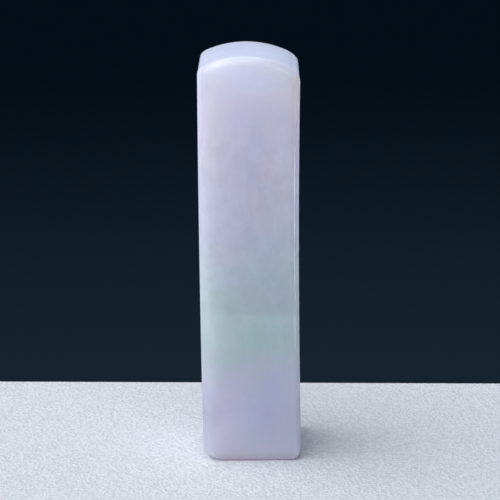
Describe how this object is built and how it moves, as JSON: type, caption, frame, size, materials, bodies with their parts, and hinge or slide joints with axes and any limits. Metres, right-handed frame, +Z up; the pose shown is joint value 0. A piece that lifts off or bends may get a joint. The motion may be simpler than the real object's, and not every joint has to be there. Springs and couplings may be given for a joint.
{
  "type": "seal stamp",
  "caption": "Tall square seal stone with an arched crown and rounded edges, held upright in the fingers to press its flat face on paper.",
  "frame": {"origin": "centre of the seal face, the flat base that the stone stands on", "axes": "+Z up the stone to its crown, +X to the right across the front, and the front faces -Y"},
  "size_m": [0.0151, 0.015, 0.0623],
  "materials": {
    "jade": "polished"
  },
  "bodies": {
    "root": {"seal_stone": "jade"}
  },
  "joints": []
}
